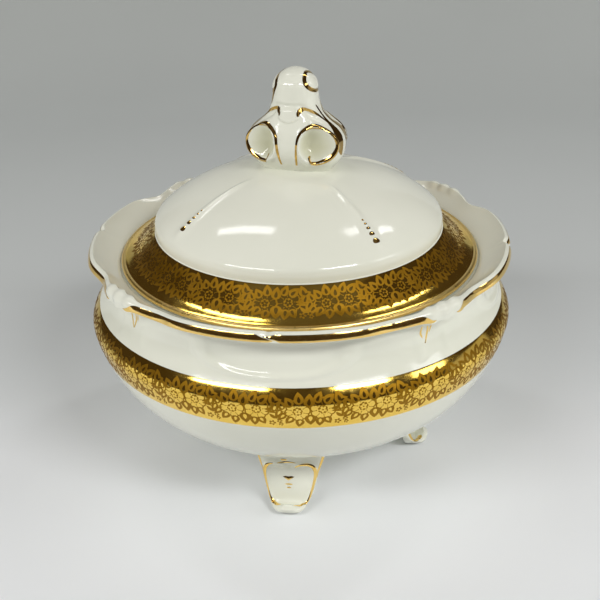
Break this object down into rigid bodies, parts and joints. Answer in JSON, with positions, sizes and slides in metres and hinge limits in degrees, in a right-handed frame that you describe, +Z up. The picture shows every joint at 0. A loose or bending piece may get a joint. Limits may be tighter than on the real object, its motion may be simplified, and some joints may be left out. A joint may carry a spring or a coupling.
{
  "type": "lidded candy dish",
  "caption": "Round ivory-glazed ceramic bowl on scroll feet, with a scalloped beaded rim, gilt floral bands and a domed lift-off lid with a scroll knob.",
  "frame": {"origin": "on the table, under the middle of the bowl", "axes": "+Z up along the bowl's axis, -Y toward the front foot, +X to the right"},
  "size_m": [0.2154, 0.2154, 0.214],
  "materials": {
    "glaze": "glossy ivory glaze",
    "gilding": "polished gilding with an etched matte pattern"
  },
  "bodies": {
    "dish": {"bowl": "glaze", "bowl_gilt_band": "gilding", "foot_front": "glaze", "foot_right": "glaze", "foot_back": "glaze", "foot_left": "glaze"},
    "lid": {"lid": "glaze", "lid_gilt_band": "gilding", "lid_gilt_edge": "gilding", "knob": "glaze"}
  },
  "joints": [
    {"name": "lid_lift", "type": "slide", "parent": "dish", "child": "lid", "axis": [0, 0, 1], "range_m": [0, 0.12]}
  ]
}
